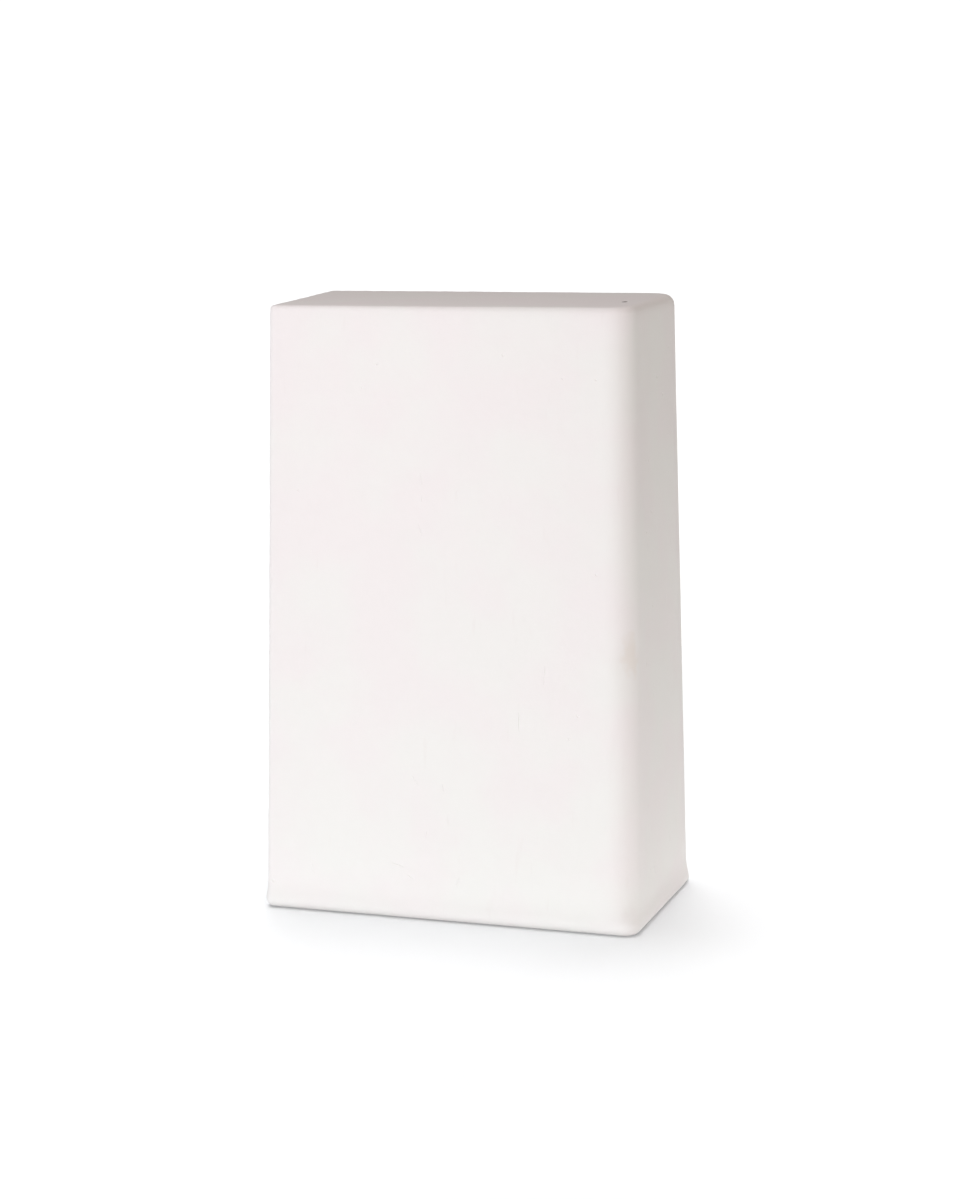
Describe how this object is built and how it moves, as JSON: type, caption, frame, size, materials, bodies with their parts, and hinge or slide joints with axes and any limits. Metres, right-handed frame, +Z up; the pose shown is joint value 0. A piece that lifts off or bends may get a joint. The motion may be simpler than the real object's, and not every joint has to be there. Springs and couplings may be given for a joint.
{
  "type": "gymnastics chalk block",
  "caption": "Tapered rectangular block of pressed white chalk with rounded moulded edges, one cut face and a faintly flared foot, rubbed on the hands for grip.",
  "frame": {"origin": "centre of the foot, on the surface that the block stands on", "axes": "+Z up along the height, +X to the moulded side with the large round edges, -Y to the front face"},
  "size_m": [0.0516, 0.0326, 0.0804],
  "materials": {
    "chalk": "dry, matt and powdery, faintly warm white"
  },
  "bodies": {
    "root": {"chalk_block": "chalk"}
  },
  "joints": []
}
